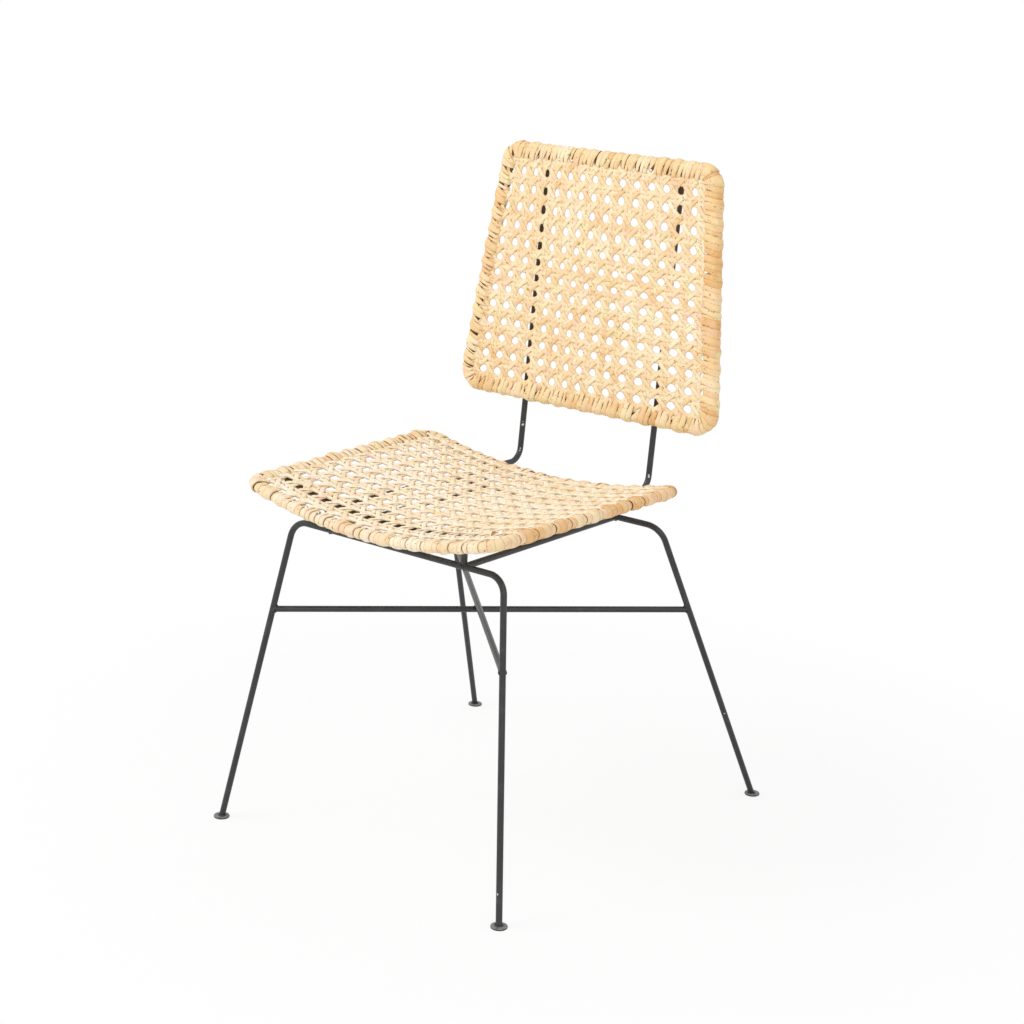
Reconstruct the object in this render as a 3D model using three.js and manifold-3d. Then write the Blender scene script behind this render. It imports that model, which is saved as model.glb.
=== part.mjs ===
// Rattan chair: a welded frame of bent steel rod that carries a woven cane seat and back.
// Millimetres. +Z is up, -Y is the front of the chair, and the origin is on the floor under its middle.

import * as THREE from 'three';
import { mergeVertices } from 'three/addons/utils/BufferGeometryUtils.js';
import Module from 'manifold-3d';

const wasm = await Module();
wasm.setup();

// Rods and how pieces meet
const ROD_DIAMETER = 8;
const ROD_SIDES = 12;
const BEND_STEPS = 7;
const CLEARANCE = 0.3;
const CUT_OVERRUN = 40;

// Leg frames, measured between the points where the straight runs would cross.
// Their bars are placed from the seat: below it, behind its front edge and behind its rear edge.
const BAR_DROP = 26.7;
const FRONT_BAR_INSET = 54;
const REAR_BAR_SETBACK = 9;
const FRONT_BAR_WIDTH = 331;
const REAR_BAR_WIDTH = 351;
const FRONT_FEET_SPACING = 456;
const REAR_FEET_SPACING = 486;
const FEET_DEPTH = 550;
const LEG_BEND_RADIUS = 24;

// Foot discs
const FOOT_DIAMETER = 20.5;
const FOOT_THICKNESS = 2.6;
const FOOT_SIDES = 24;

// Rails between the bars, and the two stretchers that cross below them
const RAIL_SPACING = 212;
const STRETCHER_HEIGHT = 285;

// Woven panels
const WEAVE_THICKNESS = 2.4;
const PEEL_THICKNESS = 1.2;
const POLE_SIDES = 10;
const PEEL_STEPS = 10;
const POLE_JOINT_GAP = 0.6;
const CORNER_STEPS = 5;
const GAP_WIDTH_SHARE = 0.46;
const WEAVE_LIFT_SHARE = 0.82;

// Seat: sizes run between the middles of its edge poles
const SEAT_HEIGHT = 428.7;
const SEAT_FRONT_REACH = 269;
const SEAT_DEPTH = 360;
const SEAT_FRONT_WIDTH = 381;
const SEAT_REAR_WIDTH = 404;
const SEAT_REAR_RISE = 3.1;
const SEAT_FRONT_DISH = 27.6;
const SEAT_REAR_DISH = 26.3;
const SEAT_CORNER_RADIUS = 22;
const SEAT_POLE_DIAMETER = 12.6;
const SEAT_GAP_COLUMNS = 16;
const SEAT_GAP_ROWS = 12;
const SEAT_GAP_MARGIN = 2;
const SEAT_DISH_STEPS = 10;

// Back: sizes run between the middles of its edge poles, along its lean
const BACK_LEAN_DEGREES = 5.1;
const BACK_RISE = 96;
const BACK_HEIGHT = 325;
const BACK_LOWER_WIDTH = 402;
const BACK_UPPER_WIDTH = 325;
const BACK_CORNER_RADIUS = 23;
const BACK_POLE_DIAMETER = 14.8;
const BACK_GAP_COLUMNS = 15;
const BACK_GAP_ROWS = 13;
const BACK_GAP_MARGIN = 2;

// Upright rods: one bent rod a side, from under the seat to the top of the back.
// Their lean starts from a corner behind the seat's rear edge.
const UPRIGHT_SETBACK = 79.5;
const UPRIGHT_BEND_RADIUS = 20;
const UPRIGHT_TOP_OVERRUN = 3;
const SIDE_ROD_FRONT_OVERRUN = 7;

// Front bow and the cane ties
const BOW_END_CLEARANCE = 4;
const BOW_CLEARANCE = 0.6;
const BOW_STEPS = 16;
const TIE_WIDTH = 9;
const TIE_THICKNESS = 1.4;
const TIE_STEPS = 8;
const BOW_TIE_SHARE = 0.8;

// Colours and finishes
const STEEL_COLOUR = 0x2b2b2c;
const CANE_COLOUR = 0xe9cf9d;
const POLE_COLOUR = 0xdcb578;
const PEEL_COLOUR = 0xe2b877;

const ROD_RADIUS = ROD_DIAMETER / 2;
const BAR_HEIGHT = SEAT_HEIGHT - BAR_DROP;
const SEAT_REAR_Y = SEAT_DEPTH - SEAT_FRONT_REACH;
const FRONT_BAR_Y = FRONT_BAR_INSET - SEAT_FRONT_REACH;
const REAR_BAR_Y = SEAT_REAR_Y + REAR_BAR_SETBACK;
const UPRIGHT_Y = SEAT_REAR_Y + UPRIGHT_SETBACK;
const MIDDLE = 0.5;
const SIDES = [['left', -1], ['right', 1]];
const vec = (x, y, z) => new THREE.Vector3(x, y, z);
const lerp = THREE.MathUtils.lerp;

const steel = () => new THREE.MeshStandardMaterial({ color: STEEL_COLOUR, roughness: 0.5, metalness: 0.6 });
const cane = () => new THREE.MeshStandardMaterial({ color: CANE_COLOUR, roughness: 0.6, metalness: 0 });
const rattan = () => new THREE.MeshStandardMaterial({ color: POLE_COLOUR, roughness: 0.55, metalness: 0 });
const peel = () => new THREE.MeshStandardMaterial({ color: PEEL_COLOUR, roughness: 0.5, metalness: 0 });

const chair = new THREE.Group();

function piece(name, geometry, material, parent = chair) {
  const mesh = new THREE.Mesh(geometry, material);
  mesh.name = name;
  parent.add(mesh);
  return mesh;
}

// Closed meshes as solids that can be cut, and back again
function solid(geometry) {
  const bare = geometry.clone();
  bare.deleteAttribute('normal');
  bare.deleteAttribute('uv');
  const merged = mergeVertices(bare);
  return new wasm.Manifold(new wasm.Mesh({
    numProp: 3,
    vertProperties: new Float32Array(merged.attributes.position.array),
    triVerts: new Uint32Array(merged.index.array),
  }));
}

function meshed(body) {
  const { vertProperties, triVerts } = body.getMesh();
  const geometry = new THREE.BufferGeometry();
  geometry.setAttribute('position', new THREE.BufferAttribute(vertProperties, 3));
  geometry.setIndex(new THREE.BufferAttribute(triVerts, 1));
  const flat = geometry.toNonIndexed();
  flat.computeVertexNormals();
  return flat;
}

function cut(geometry, ...tools) {
  return meshed(tools.reduce((body, tool) => body.subtract(solid(tool)), solid(geometry)));
}

// A path that an extrusion follows station by station, so that a straight run takes one step.
// Its sections keep one side towards the given up directions, or else turn as little as they can.
class StationPath extends THREE.Curve {
  constructor(stations, ups) {
    super();
    this.stations = stations;
    this.ups = ups;
  }

  getPoint(t, target = new THREE.Vector3()) {
    const place = t * (this.stations.length - 1);
    const index = Math.min(Math.floor(place), this.stations.length - 2);
    return target.lerpVectors(this.stations[index], this.stations[index + 1], place - index);
  }

  getSpacedPoints() {
    return this.stations.map((station) => station.clone());
  }

  computeFrenetFrames() {
    const last = this.stations.length - 1;
    const ahead = (index) => this.stations[index + 1].clone().sub(this.stations[index]).normalize();
    const tangents = this.stations.map((_, index) => {
      if (index === 0) return ahead(0);
      if (index === last) return ahead(last - 1);
      return ahead(index - 1).add(ahead(index)).normalize();
    });
    let up = Math.abs(tangents[0].x) < Math.SQRT1_2 ? vec(1, 0, 0) : vec(0, 0, 1);
    const binormals = tangents.map((tangent, index) => {
      if (this.ups) up = this.ups[index];
      up = up.clone().addScaledVector(tangent, -up.dot(tangent)).normalize();
      return up;
    });
    const normals = binormals.map((binormal, index) => binormal.clone().cross(tangents[index]));
    return { tangents, normals, binormals };
  }
}

function sweep(stations, section, ups) {
  const extrudePath = new StationPath(stations, ups);
  return new THREE.ExtrudeGeometry(section, { steps: stations.length - 1, extrudePath });
}

function roundSection(radius, sides = ROD_SIDES) {
  const corners = [];
  for (let index = 0; index < sides; index += 1) {
    const angle = (2 * Math.PI * index) / sides;
    corners.push(new THREE.Vector2(radius * Math.cos(angle), radius * Math.sin(angle)));
  }
  return new THREE.Shape(corners);
}

function rod(stations, radius = ROD_RADIUS) {
  return sweep(stations, roundSection(radius));
}

// A run through the given points with each inner corner rounded to the radius
function bent(points, radius) {
  const stations = [points[0]];
  for (let index = 1; index < points.length - 1; index += 1) {
    const corner = points[index];
    const back = points[index - 1].clone().sub(corner).normalize();
    const ahead = points[index + 1].clone().sub(corner).normalize();
    const halfAngle = back.angleTo(ahead) / 2;
    const bisector = back.clone().add(ahead).normalize();
    const centre = corner.clone().addScaledVector(bisector, radius / Math.sin(halfAngle));
    const start = corner.clone().addScaledVector(back, radius / Math.tan(halfAngle)).sub(centre);
    const axis = start.clone().cross(ahead).normalize();
    const turn = Math.PI - 2 * halfAngle;
    for (let step = 0; step <= BEND_STEPS; step += 1) {
      const spoke = start.clone().applyAxisAngle(axis, (turn * step) / BEND_STEPS);
      stations.push(centre.clone().add(spoke));
    }
  }
  stations.push(points[points.length - 1]);
  return stations;
}

function block(low, high) {
  const size = high.clone().sub(low);
  const geometry = new THREE.BoxGeometry(size.x, size.y, size.z);
  const middle = low.clone().add(high).multiplyScalar(MIDDLE);
  return geometry.translate(middle.x, middle.y, middle.z);
}

// Leg frames: each one rod, foot to foot, bent into an arch with splayed legs
const legFrames = {
  front: {
    barY: FRONT_BAR_Y,
    barHalf: FRONT_BAR_WIDTH / 2,
    footY: -FEET_DEPTH / 2,
    footHalf: FRONT_FEET_SPACING / 2,
  },
  rear: {
    barY: REAR_BAR_Y,
    barHalf: REAR_BAR_WIDTH / 2,
    footY: FEET_DEPTH / 2,
    footHalf: REAR_FEET_SPACING / 2,
  },
};

const barCorner = (frame, side) => vec(side * frame.barHalf, frame.barY, BAR_HEIGHT);
const footPoint = (frame, side) => vec(side * frame.footHalf, frame.footY, 0);

function legFrameRod(frame, radius) {
  const points = [footPoint(frame, -1), barCorner(frame, -1), barCorner(frame, 1), footPoint(frame, 1)];
  return rod(bent(points, LEG_BEND_RADIUS), radius);
}

const groundCut = block(
  vec(-REAR_FEET_SPACING, -FEET_DEPTH, -CUT_OVERRUN),
  vec(REAR_FEET_SPACING, FEET_DEPTH, FOOT_THICKNESS + CLEARANCE),
);

for (const [end, frame] of Object.entries(legFrames)) {
  piece(`${end}_leg_frame`, cut(legFrameRod(frame, ROD_RADIUS), groundCut), steel());
}

// Foot discs: flat discs under the ends of the legs
for (const [end, frame] of Object.entries(legFrames)) {
  for (const [sideName, side] of SIDES) {
    const disc = new THREE.CylinderGeometry(FOOT_DIAMETER / 2, FOOT_DIAMETER / 2, FOOT_THICKNESS, FOOT_SIDES);
    const foot = piece(`foot_disc_${end}_${sideName}`, disc, steel());
    foot.rotation.x = Math.PI / 2;
    foot.position.copy(footPoint(frame, side)).setZ(FOOT_THICKNESS / 2);
  }
}

const fatLegFrames = Object.values(legFrames).map((frame) => legFrameRod(frame, ROD_RADIUS + CLEARANCE));

// Stretchers: two straight rods, corner to corner, one lying on the other where they cross
function legPoint(frame, side, height) {
  return footPoint(frame, side).lerp(barCorner(frame, side), height / BAR_HEIGHT);
}

for (const [sideName, side] of SIDES) {
  const level = side < 0 ? STRETCHER_HEIGHT : STRETCHER_HEIGHT + ROD_DIAMETER + CLEARANCE;
  const run = [legPoint(legFrames.front, side, level), legPoint(legFrames.rear, -side, level)];
  piece(`stretcher_from_front_${sideName}`, cut(rod(run), ...fatLegFrames), steel());
}

// Woven panels: an edge pole, a woven sheet and the peel wound round the edge.
// A panel lies in its own x and y, from its near edge at y = 0, and its face looks along +z.
function seatHalfWidth(depthShare) {
  return lerp(SEAT_FRONT_WIDTH, SEAT_REAR_WIDTH, depthShare) / 2;
}

function seatLift(x, y) {
  const depthShare = y / SEAT_DEPTH;
  const widthShare = x / seatHalfWidth(depthShare);
  return SEAT_REAR_RISE * depthShare + lerp(SEAT_FRONT_DISH, SEAT_REAR_DISH, depthShare) * widthShare ** 2;
}

const seatShape = {
  name: 'seat',
  nearWidth: SEAT_FRONT_WIDTH,
  farWidth: SEAT_REAR_WIDTH,
  depth: SEAT_DEPTH,
  cornerRadius: SEAT_CORNER_RADIUS,
  poleRadius: SEAT_POLE_DIAMETER / 2,
  columns: SEAT_GAP_COLUMNS,
  rows: SEAT_GAP_ROWS,
  margin: SEAT_GAP_MARGIN,
  edgeSteps: SEAT_DISH_STEPS,
  lift: seatLift,
};

const backShape = {
  name: 'back',
  nearWidth: BACK_LOWER_WIDTH,
  farWidth: BACK_UPPER_WIDTH,
  depth: BACK_HEIGHT,
  cornerRadius: BACK_CORNER_RADIUS,
  poleRadius: BACK_POLE_DIAMETER / 2,
  columns: BACK_GAP_COLUMNS,
  rows: BACK_GAP_ROWS,
  margin: BACK_GAP_MARGIN,
  edgeSteps: 1,
  lift: () => 0,
};

const weaveHeight = (shape) => shape.poleRadius * WEAVE_LIFT_SHARE;
const wrapInner = (shape) => (shape.poleRadius + CLEARANCE) / Math.cos(Math.PI / PEEL_STEPS);
const wrapOuter = (shape) => wrapInner(shape) + PEEL_THICKNESS;

function surfaceNormal(shape, x, y) {
  const step = shape.poleRadius;
  const slopeX = (shape.lift(x + step, y) - shape.lift(x - step, y)) / (2 * step);
  const slopeY = (shape.lift(x, y + step) - shape.lift(x, y - step)) / (2 * step);
  return vec(-slopeX, -slopeY, 1).normalize();
}

function surfacePoint(shape, x, y, height) {
  return vec(x, y, shape.lift(x, y)).addScaledVector(surfaceNormal(shape, x, y), height);
}

// Middle line of the edge pole, or a line inside it, clockwise from the middle of the far edge
function outline(shape, inset = 0) {
  const { nearWidth, farWidth, depth } = shape;
  const cornerRadius = shape.cornerRadius - inset;
  const slope = (farWidth - nearWidth) / 2 / depth;
  const half = (y) => lerp(nearWidth, farWidth, y / depth) / 2 - inset * Math.hypot(1, slope);
  const far = depth - inset;
  const corners = [[half(far), far], [half(inset), inset], [-half(inset), inset], [-half(far), far]]
    .map(([x, y]) => new THREE.Vector2(x, y));
  const points = [new THREE.Vector2(0, far)];
  corners.forEach((corner, index) => {
    const before = corners.at(index - 1).clone().sub(corner).normalize();
    const after = corners[(index + 1) % corners.length].clone().sub(corner).normalize();
    const halfAngle = Math.acos(before.dot(after)) / 2;
    const inward = before.clone().add(after).normalize();
    const centre = corner.clone().addScaledVector(inward, cornerRadius / Math.sin(halfAngle));
    const start = corner.clone().addScaledVector(before, cornerRadius / Math.tan(halfAngle)).sub(centre);
    const turn = Math.PI - 2 * halfAngle;
    for (let step = 0; step <= CORNER_STEPS; step += 1) {
      const angle = start.angle() - (turn * step) / CORNER_STEPS;
      const spoke = new THREE.Vector2(Math.cos(angle), Math.sin(angle)).multiplyScalar(cornerRadius);
      points.push(spoke.add(centre));
    }
  });
  points.push(new THREE.Vector2(0, far));
  return points;
}

// The middle line on the panel's surface, with more stations along the edges that are dished
function edgeStations(shape) {
  const points = outline(shape);
  const places = [];
  points.slice(0, -1).forEach((from, index) => {
    const to = points[index + 1];
    const run = Math.abs(to.x - from.x);
    const steps = Math.max(1, Math.round((shape.edgeSteps * run) / shape.nearWidth));
    for (let step = 0; step < steps; step += 1) places.push(from.clone().lerp(to, step / steps));
  });
  places.push(points.at(-1));
  const stations = places.map(({ x, y }) => surfacePoint(shape, x, y, 0));
  const ups = places.map(({ x, y }) => surfaceNormal(shape, x, y));
  stations[0].x += POLE_JOINT_GAP / 2;
  stations.at(-1).x -= POLE_JOINT_GAP / 2;
  return { stations, ups };
}

function edgeTube(shape, radius) {
  const { stations, ups } = edgeStations(shape);
  return sweep(stations, roundSection(radius, POLE_SIDES), ups);
}

// Section of the edge wrapping: a ring round the pole, open where the weave comes out towards the inside
function wrapSection(shape) {
  const mouthTop = weaveHeight(shape) + WEAVE_THICKNESS / 2 + CLEARANCE;
  const mouthBottom = weaveHeight(shape) - WEAVE_THICKNESS / 2 - CLEARANCE;
  const arc = (radius) => {
    const first = -Math.PI - Math.asin(mouthBottom / radius);
    const last = Math.PI - Math.asin(mouthTop / radius);
    return Array.from({ length: PEEL_STEPS + 1 }, (_, step) => {
      const angle = lerp(first, last, step / PEEL_STEPS);
      return new THREE.Vector2(radius * Math.cos(angle), radius * Math.sin(angle));
    });
  };
  return new THREE.Shape([...arc(wrapOuter(shape)), ...arc(wrapInner(shape)).reverse()]);
}

function edgeWrapping(shape) {
  const { stations, ups } = edgeStations(shape);
  return sweep(stations, wrapSection(shape), ups);
}

// Woven sheet: a net of four-sided gaps that fans with the panel, trimmed inside the edge pole while it is
// flat and then laid on the panel's surface
function wovenSheet(shape) {
  const border = wrapOuter(shape) + shape.margin;
  const line = (count, index) => {
    const cell = (index - 1 - ((index - 1) % 2)) / 2;
    const side = index % 2 ? -1 : 1;
    return (cell + MIDDLE + (side * GAP_WIDTH_SHARE) / 2) / count;
  };
  const columnLines = 2 * shape.columns + 2;
  const rowLines = 2 * shape.rows + 2;
  const place = (column, row) => {
    const isNear = row === 0;
    const isFar = row === rowLines - 1;
    const inField = lerp(border, shape.depth - border, line(shape.rows, row));
    const y = isNear ? 0 : isFar ? shape.depth : inField;
    const half = lerp(shape.nearWidth, shape.farWidth, y / shape.depth) / 2;
    if (column === 0) return [-half, y];
    if (column === columnLines - 1) return [half, y];
    return [lerp(border - half, half - border, line(shape.columns, column)), y];
  };
  const isGap = (column, row) => column % 2 === 1 && row % 2 === 1;
  const isSheet = (column, row) => column >= 0 && row >= 0
    && column < columnLines - 1 && row < rowLines - 1 && !isGap(column, row);
  const positions = [];
  for (let face = 0; face < 2; face += 1) {
    const height = weaveHeight(shape) + (face - MIDDLE) * WEAVE_THICKNESS;
    for (let row = 0; row < rowLines; row += 1) {
      for (let column = 0; column < columnLines; column += 1) positions.push(...place(column, row), height);
    }
  }
  const at = (column, row, face) => (face * rowLines + row) * columnLines + column;
  const triangles = [];
  const quad = (a, b, c, d) => triangles.push(a, b, c, a, c, d);
  for (let row = 0; row < rowLines - 1; row += 1) {
    for (let column = 0; column < columnLines - 1; column += 1) {
      if (!isSheet(column, row)) continue;
      const corners = [[column, row], [column + 1, row], [column + 1, row + 1], [column, row + 1]];
      const beyond = [[column, row - 1], [column + 1, row], [column, row + 1], [column - 1, row]];
      quad(...corners.map(([i, j]) => at(i, j, 1)));
      quad(...corners.toReversed().map(([i, j]) => at(i, j, 0)));
      beyond.forEach((neighbour, index) => {
        if (isSheet(...neighbour)) return;
        const from = corners[index];
        const to = corners[(index + 1) % 4];
        quad(at(...from, 0), at(...to, 0), at(...to, 1), at(...from, 1));
      });
    }
  }
  const sheet = new THREE.BufferGeometry();
  sheet.setAttribute('position', new THREE.Float32BufferAttribute(positions, 3));
  sheet.setIndex(triangles);
  const underside = weaveHeight(shape) - WEAVE_THICKNESS / 2;
  const inset = Math.sqrt(shape.poleRadius ** 2 - underside ** 2) + CLEARANCE;
  const depth = 2 * shape.poleRadius;
  const trimLine = new THREE.Shape(outline(shape, inset));
  const inside = new THREE.ExtrudeGeometry(trimLine, { depth, bevelEnabled: false });
  const trimmed = meshed(solid(sheet).intersect(solid(inside)));
  const corner = new THREE.Vector3();
  const { position } = trimmed.attributes;
  for (let index = 0; index < position.count; index += 1) {
    corner.fromBufferAttribute(position, index);
    position.setXYZ(index, ...surfacePoint(shape, corner.x, corner.y, corner.z).toArray());
  }
  trimmed.computeVertexNormals();
  return trimmed;
}

function panel(shape, parent) {
  piece(`${shape.name}_edge_pole`, edgeTube(shape, shape.poleRadius), rattan(), parent);
  piece(`${shape.name}_cane_weave`, wovenSheet(shape), cane(), parent);
  piece(`${shape.name}_edge_wrapping`, edgeWrapping(shape), peel(), parent);
}

const seatGroup = new THREE.Group();
seatGroup.position.set(0, -SEAT_FRONT_REACH, SEAT_HEIGHT);
chair.add(seatGroup);
panel(seatShape, seatGroup);

// Front bow: a rod that follows the dish of the seat, right under the weave and over the side rods
const railX = RAIL_SPACING / 2;
const bowHalf = seatHalfWidth(FRONT_BAR_INSET / SEAT_DEPTH) - wrapOuter(seatShape) - BOW_END_CLEARANCE;
const bowDrop = weaveHeight(seatShape) - WEAVE_THICKNESS / 2 - BOW_CLEARANCE - ROD_RADIUS;

function bowPoint(x) {
  return surfacePoint(seatShape, x, FRONT_BAR_INSET, bowDrop).add(seatGroup.position);
}

const bowStations = [];
for (let step = 0; step <= BOW_STEPS; step += 1) {
  bowStations.push(bowPoint(lerp(-bowHalf, bowHalf, step / BOW_STEPS)));
}
piece('seat_front_bow', rod(bowStations), steel());

// Side rods and uprights: each side is one rod, under the bow and the rear edge, then up behind the back
const underBow = bowPoint(railX).z - ROD_DIAMETER - CLEARANCE;
const rearEdge = surfacePoint(seatShape, railX, SEAT_DEPTH, 0).add(seatGroup.position);
const rearEdgeTilt = 1 / surfaceNormal(seatShape, railX, SEAT_DEPTH).z;
const underEdge = rearEdge.z - (wrapOuter(seatShape) + CLEARANCE + ROD_RADIUS) * rearEdgeTilt;

function sideRodHeight(y) {
  return lerp(underBow, underEdge, (y - FRONT_BAR_Y) / (rearEdge.y - FRONT_BAR_Y));
}

const backLean = THREE.MathUtils.degToRad(BACK_LEAN_DEGREES);
const backGroup = new THREE.Group();
backGroup.position.set(0, UPRIGHT_Y, sideRodHeight(UPRIGHT_Y));
backGroup.rotation.x = -backLean;
chair.add(backGroup);

function uprightRod(side, radius) {
  const frontY = FRONT_BAR_Y - SIDE_ROD_FRONT_OVERRUN;
  const length = BACK_RISE + BACK_HEIGHT + UPRIGHT_TOP_OVERRUN;
  const foot = vec(side * railX, UPRIGHT_Y, sideRodHeight(UPRIGHT_Y));
  const top = foot.clone().add(vec(0, length * Math.sin(backLean), length * Math.cos(backLean)));
  const front = vec(side * railX, frontY, sideRodHeight(frontY));
  return rod(bent([front, foot, top], UPRIGHT_BEND_RADIUS), radius);
}

// Rails run level between the bars, and a short riser at each end of a rail carries the side rod
const railRod = (side, radius) => rod([
  vec(side * railX, legFrames.front.barY, BAR_HEIGHT),
  vec(side * railX, legFrames.rear.barY, BAR_HEIGHT),
], radius);

for (const [sideName, side] of SIDES) {
  piece(`back_upright_${sideName}`, uprightRod(side, ROD_RADIUS), steel());
  piece(`seat_rail_${sideName}`, cut(railRod(side, ROD_RADIUS), ...fatLegFrames), steel());
  const fatUpright = uprightRod(side, ROD_RADIUS + CLEARANCE);
  const fatRail = railRod(side, ROD_RADIUS + CLEARANCE);
  for (const [end, frame] of Object.entries(legFrames)) {
    const low = vec(side * railX, frame.barY, BAR_HEIGHT);
    const riser = rod([low, low.clone().setZ(sideRodHeight(frame.barY))]);
    piece(`riser_${end}_${sideName}`, cut(riser, ...fatLegFrames, fatUpright, fatRail), steel());
  }
}

// Back panel: it stands in front of the uprights, on their lean
const backGap = wrapOuter(backShape) + CLEARANCE + ROD_RADIUS;
const backPanel = new THREE.Group();
backPanel.position.set(0, -backGap, BACK_RISE);
backPanel.rotation.x = Math.PI / 2;
backGroup.add(backPanel);
panel(backShape, backPanel);

// Cane ties: a band of peel behind each rod, open towards what it is tied to
function tieBand(legLength) {
  const inner = (ROD_RADIUS + CLEARANCE) / Math.cos(Math.PI / TIE_STEPS / 2);
  const arc = (radius) => Array.from({ length: TIE_STEPS + 1 }, (_, step) => {
    const angle = Math.PI + (Math.PI * step) / TIE_STEPS;
    return new THREE.Vector2(radius * Math.cos(angle), radius * Math.sin(angle));
  });
  const outer = inner + TIE_THICKNESS;
  const legEnds = [[outer, legLength], [inner, legLength]].map(([x, y]) => new THREE.Vector2(x, y));
  const otherEnds = [[-inner, legLength], [-outer, legLength]].map(([x, y]) => new THREE.Vector2(x, y));
  const section = new THREE.Shape([...arc(outer), ...legEnds, ...arc(inner).reverse(), ...otherEnds]);
  const band = new THREE.ExtrudeGeometry(section, { depth: TIE_WIDTH, bevelEnabled: false });
  return band.translate(0, 0, -TIE_WIDTH / 2);
}

const fatBackEdge = edgeTube(backShape, wrapOuter(backShape) + CLEARANCE);
const fatSeatEdge = edgeTube(seatShape, wrapOuter(seatShape) + CLEARANCE);

for (const [sideName, side] of SIDES) {
  for (const [level, y] of [['lower', 0], ['upper', BACK_HEIGHT]]) {
    const band = tieBand(backGap).rotateX(Math.PI / 2).translate(side * railX, y, -backGap);
    piece(`back_tie_${level}_${sideName}`, cut(band, fatBackEdge), peel(), backPanel);
  }
  const drop = rearEdge.z - sideRodHeight(rearEdge.y);
  const seatBand = tieBand(drop).rotateX(Math.PI / 2);
  seatBand.translate(side * railX, SEAT_DEPTH, rearEdge.z - SEAT_HEIGHT - drop);
  piece(`seat_tie_rear_${sideName}`, cut(seatBand, fatSeatEdge), peel(), seatGroup);
  const tieX = side * bowHalf * BOW_TIE_SHARE;
  const along = bowPoint(tieX + ROD_RADIUS).sub(bowPoint(tieX - ROD_RADIUS));
  const bowBand = tieBand(0).rotateX(Math.PI / 2).rotateZ(Math.PI / 2);
  const bowTie = piece(`seat_tie_front_${sideName}`, bowBand, peel());
  bowTie.rotation.y = -Math.atan2(along.z, along.x);
  bowTie.position.copy(bowPoint(tieX));
}

export default chair;
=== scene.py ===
import bisect
import math
import random

import bpy
from mathutils import Matrix, Vector


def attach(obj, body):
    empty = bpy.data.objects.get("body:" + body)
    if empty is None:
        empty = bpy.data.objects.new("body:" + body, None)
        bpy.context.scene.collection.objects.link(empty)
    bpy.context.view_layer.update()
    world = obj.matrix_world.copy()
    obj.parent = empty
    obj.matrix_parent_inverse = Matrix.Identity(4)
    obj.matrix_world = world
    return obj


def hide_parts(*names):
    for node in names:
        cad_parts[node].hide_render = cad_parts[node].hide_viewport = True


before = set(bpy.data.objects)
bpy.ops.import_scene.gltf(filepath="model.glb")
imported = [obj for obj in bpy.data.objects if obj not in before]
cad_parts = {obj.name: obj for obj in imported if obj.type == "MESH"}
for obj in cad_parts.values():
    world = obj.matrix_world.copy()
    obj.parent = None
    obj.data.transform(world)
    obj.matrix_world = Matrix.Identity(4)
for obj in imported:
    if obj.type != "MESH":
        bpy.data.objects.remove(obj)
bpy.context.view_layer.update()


# Camera, floor and light of the studio.
# The camera stands in front of the chair, to its right and above the seat.

SENSOR_WIDTH = 36.0
FOCAL_LENGTH = 71.76
CAMERA_PLACE = Vector((1.51685, -2.02518, 1.10902))
CAMERA_LOOK = Vector((-0.5745, 0.77351, -0.26764))
CAMERA_UP = Vector((-0.19922, 0.185, 0.96233))
WHITE = (1.0, 1.0, 1.0, 1.0)
FLOOR_HALF = 30.0
SKY_LIGHT = 0.78
LAMP_TARGET = Vector((0.0, 0.0, 0.45))
# Name, place, size and power of each lamp.
LAMPS = (
    ("key", (-1.9, -2.2, 3.0), 2.2, 52.0),
    ("fill", (2.4, -1.6, 1.9), 2.0, 12.0),
)


def new_object(name, data):
    made = bpy.data.objects.new(name, data)
    bpy.context.scene.collection.objects.link(made)
    return made


def stand_camera():
    lens = bpy.data.cameras.new("studio camera")
    lens.sensor_width = SENSOR_WIDTH
    lens.lens = FOCAL_LENGTH
    lens.clip_end = 200.0
    camera = new_object("studio_camera", lens)
    look = CAMERA_LOOK.normalized()
    right = look.cross(CAMERA_UP).normalized()
    up = right.cross(look)
    turn = Matrix((right, up, -look)).transposed().to_4x4()
    camera.matrix_world = Matrix.Translation(CAMERA_PLACE) @ turn
    bpy.context.scene.camera = camera


def both_ways(operation):
    """The two methods of a wire for one kind of sum, with the wire before the other value and after it."""
    return (
        lambda wire, other: wire.bench.maths(operation, wire, other),
        lambda wire, other: wire.bench.maths(operation, other, wire),
    )


class Wire:
    """A socket of a node tree, which takes part in sums as a number does."""

    __add__, __radd__ = both_ways("ADD")
    __sub__, __rsub__ = both_ways("SUBTRACT")
    __mul__, __rmul__ = both_ways("MULTIPLY")
    __truediv__, __rtruediv__ = both_ways("DIVIDE")

    def __init__(self, bench, socket):
        self.bench = bench
        self.socket = socket

    def out(self, name):
        return Wire(self.bench, self.socket.node.outputs[name])


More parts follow.
